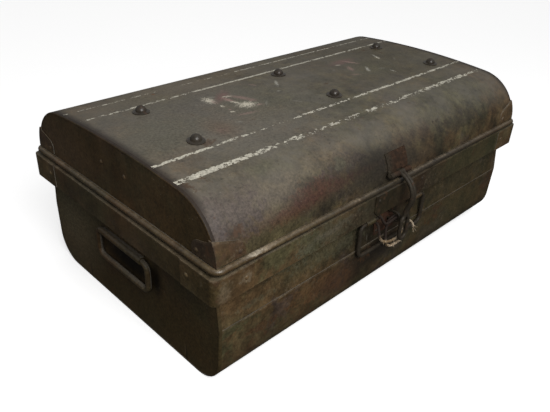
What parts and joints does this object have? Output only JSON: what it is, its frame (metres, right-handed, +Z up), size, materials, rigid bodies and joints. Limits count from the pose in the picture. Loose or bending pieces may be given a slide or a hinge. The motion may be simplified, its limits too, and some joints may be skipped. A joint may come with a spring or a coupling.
{
  "type": "dome top trunk",
  "caption": "Old painted sheet-steel travelling trunk with a rolled, crowned lid, riveted corner plates, a long wire hasp, bail handles and tied twine.",
  "frame": {"origin": "middle of the flat underside", "axes": "+X along the length to the right seen from the front, front at -Y, +Z up"},
  "size_m": [0.7786, 0.5023, 0.3097],
  "materials": {
    "painted_sheet": "worn olive-brown paint over sheet steel",
    "trim_plate": "worn red-brown paint with rust",
    "handle_steel": "worn paint rubbed to bare steel",
    "rusty_iron": "dull rusty iron",
    "rivet_steel": "dull tarnished steel",
    "twine": "rough natural fibre"
  },
  "bodies": {
    "chest": {"back_panel": "painted_sheet", "bottom_tray": "painted_sheet", "collar_back": "painted_sheet", "collar_cap_back_left": "trim_plate", "collar_cap_back_right": "trim_plate", "collar_cap_front_left": "trim_plate", "collar_cap_front_right": "trim_plate", "collar_cap_rivets": "rivet_steel", "collar_front": "painted_sheet", "collar_left": "painted_sheet", "collar_right": "painted_sheet", "end_clip_rivets": "rivet_steel", "front_clip_left": "handle_steel", "front_clip_right": "handle_steel", "front_clip_rivets": "rivet_steel", "front_panel": "painted_sheet", "hinge_chest_rivets": "rivet_steel", "hinge_pins": "rusty_iron", "left_end_panel": "painted_sheet", "left_handle_clip": "handle_steel", "left_hinge_chest_leaf": "trim_plate", "lock_plate": "trim_plate", "lock_plate_rivets": "rivet_steel", "right_end_panel": "painted_sheet", "right_handle_clip": "handle_steel", "right_hinge_chest_leaf": "trim_plate", "staple": "rusty_iron", "staple_plate": "rusty_iron", "staple_plate_rivets": "rivet_steel", "twine": "twine"},
    "lid": {"hasp_pin": "rusty_iron", "hasp_plate": "rusty_iron", "hasp_plate_rivets": "rivet_steel", "hinge_lid_rivets": "rivet_steel", "left_hinge_lid_leaf": "trim_plate", "lid_corner_back_left": "trim_plate", "lid_corner_back_right": "trim_plate", "lid_corner_front_left": "trim_plate", "lid_corner_front_right": "trim_plate", "lid_corner_rivets": "rivet_steel", "lid_edge_bead": "painted_sheet", "lid_end_rivets": "rivet_steel", "lid_left_end": "painted_sheet", "lid_right_end": "painted_sheet", "lid_studs": "rivet_steel", "lid_top_sheet": "painted_sheet", "right_hinge_lid_leaf": "trim_plate", "stud_washers": "rivet_steel"},
    "hasp": {"hasp_arm": "rusty_iron"},
    "left_bail_ring": {"left_bail": "handle_steel"},
    "right_bail_ring": {"right_bail": "handle_steel"},
    "front_bail_rod": {"front_bail": "handle_steel"}
  },
  "joints": [
    {"name": "lid_hinge", "type": "hinge", "parent": "chest", "child": "lid", "pos_m": [0, 0.23726, 0.207], "axis": [-1, 0, 0], "range_deg": [0, 105]},
    {"name": "hasp_hinge", "type": "hinge", "parent": "lid", "child": "hasp", "pos_m": [-0.006, -0.22928, 0.2246], "axis": [-1, 0, 0], "range_deg": [0, 105]},
    {"name": "left_bail_swing", "type": "hinge", "parent": "chest", "child": "left_bail_ring", "pos_m": [-0.37396, 0, 0.131], "axis": [0, 1, 0], "range_deg": [0, 95]},
    {"name": "right_bail_swing", "type": "hinge", "parent": "chest", "child": "right_bail_ring", "pos_m": [0.37396, 0, 0.131], "axis": [0, -1, 0], "range_deg": [0, 95]},
    {"name": "front_bail_swing", "type": "hinge", "parent": "chest", "child": "front_bail_rod", "pos_m": [0, -0.22455, 0.15294], "axis": [-1, 0, 0], "range_deg": [0, 95]}
  ]
}
